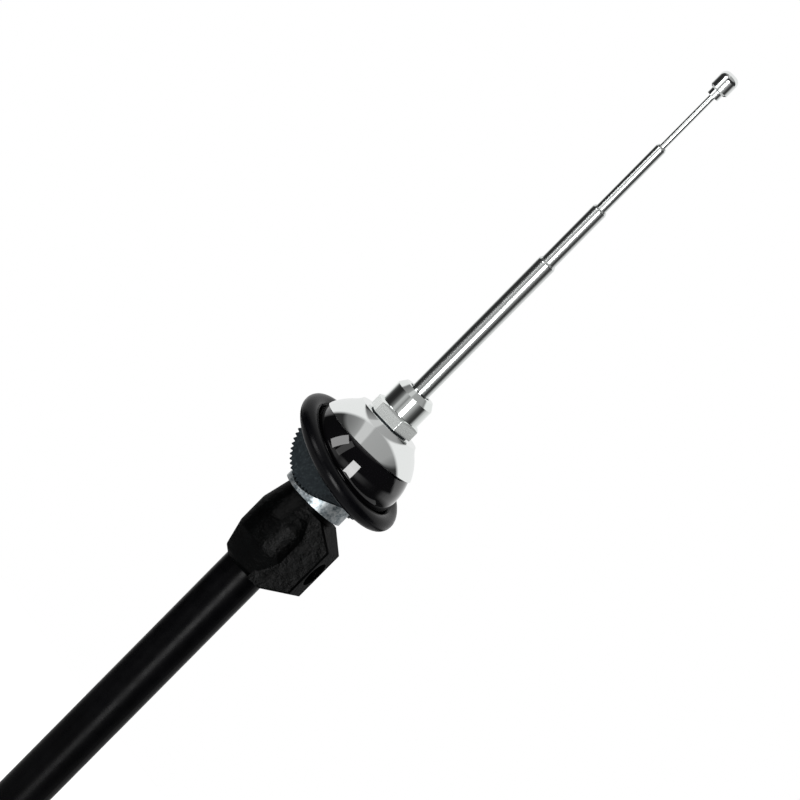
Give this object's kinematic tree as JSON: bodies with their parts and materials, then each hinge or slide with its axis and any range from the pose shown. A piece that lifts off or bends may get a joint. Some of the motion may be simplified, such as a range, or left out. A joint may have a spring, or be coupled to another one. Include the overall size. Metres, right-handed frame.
{
  "type": "telescopic car wing antenna",
  "caption": "Telescopic car antenna on a tilting ball base with a chrome cap, rubber gasket, toothed rocker, side outlet and a lower tube that swallows the mast.",
  "frame": {"origin": "centre of the ball, on the axis that the mast tilts about", "axes": "+Z along the mast to its tip as it stands in the picture, +Y along the tilt axis, +X the way the wing's outward normal leans"},
  "size_m": [0.0402, 0.042, 0.3988],
  "materials": {
    "gloss_black": "moulded, polished black",
    "black_rubber": "satin moulded rubber",
    "dark_zinc": "dull dark zinc die casting",
    "bright_zinc": "mottled bright zinc plate on a casting",
    "black_moulding": "satin black moulding",
    "chrome": "polished chromium plate",
    "mast_nickel": "polished nickel-plated brass tube",
    "plain_brass": "turned brass",
    "tinned_brass": "tinned brass",
    "white_nylon": "natural nylon",
    "black_nylon": "black nylon",
    "black_tube": "steel tube, satin black enamel"
  },
  "bodies": {
    "base": {"ball_base": "gloss_black", "rubber_gasket": "black_rubber", "toothed_rocker": "dark_zinc"},
    "head": {"saddle_ring": "bright_zinc", "head_housing": "black_moulding", "chrome_cover": "chrome", "crown_washer": "chrome", "cap_nut": "chrome", "guide_bush": "black_nylon", "mast_seal": "black_rubber", "threaded_sleeve": "plain_brass", "insulating_liner": "white_nylon", "earth_tag": "tinned_brass", "socket_shell": "tinned_brass", "socket_insulator": "white_nylon", "socket_contact": "tinned_brass", "contact_lead": "plain_brass", "contact_tube": "plain_brass", "lower_tube": "black_tube", "tube_spacer": "white_nylon", "end_plug": "black_nylon"},
    "section_a": {"mast_tube_a": "mast_nickel", "foot_plug": "plain_brass", "foot_contact": "tinned_brass"},
    "section_b": {"mast_tube_b": "mast_nickel", "friction_sleeve_b": "plain_brass"},
    "section_c": {"mast_tube_c": "mast_nickel", "friction_sleeve_c": "plain_brass"},
    "section_d": {"mast_rod": "mast_nickel", "rod_bush": "plain_brass", "tip_knob": "chrome"}
  },
  "joints": [
    {"name": "tilt", "type": "hinge", "parent": "base", "child": "head", "pos_m": [0, 0, 0], "axis": [0, 1, 0], "range_deg": [0, 36]},
    {"name": "slide_a", "type": "slide", "parent": "head", "child": "section_a", "axis": [0, 0, 1], "range_m": [-0.0479, 0.166]},
    {"name": "slide_b", "type": "slide", "parent": "section_a", "child": "section_b", "axis": [0, 0, 1], "range_m": [-0.0184, 0.2372]},
    {"name": "slide_c", "type": "slide", "parent": "section_b", "child": "section_c", "axis": [0, 0, 1], "range_m": [-0.0216, 0.2278]},
    {"name": "slide_d", "type": "slide", "parent": "section_c", "child": "section_d", "axis": [0, 0, 1], "range_m": [-0.0187, 0.2252]}
  ]
}
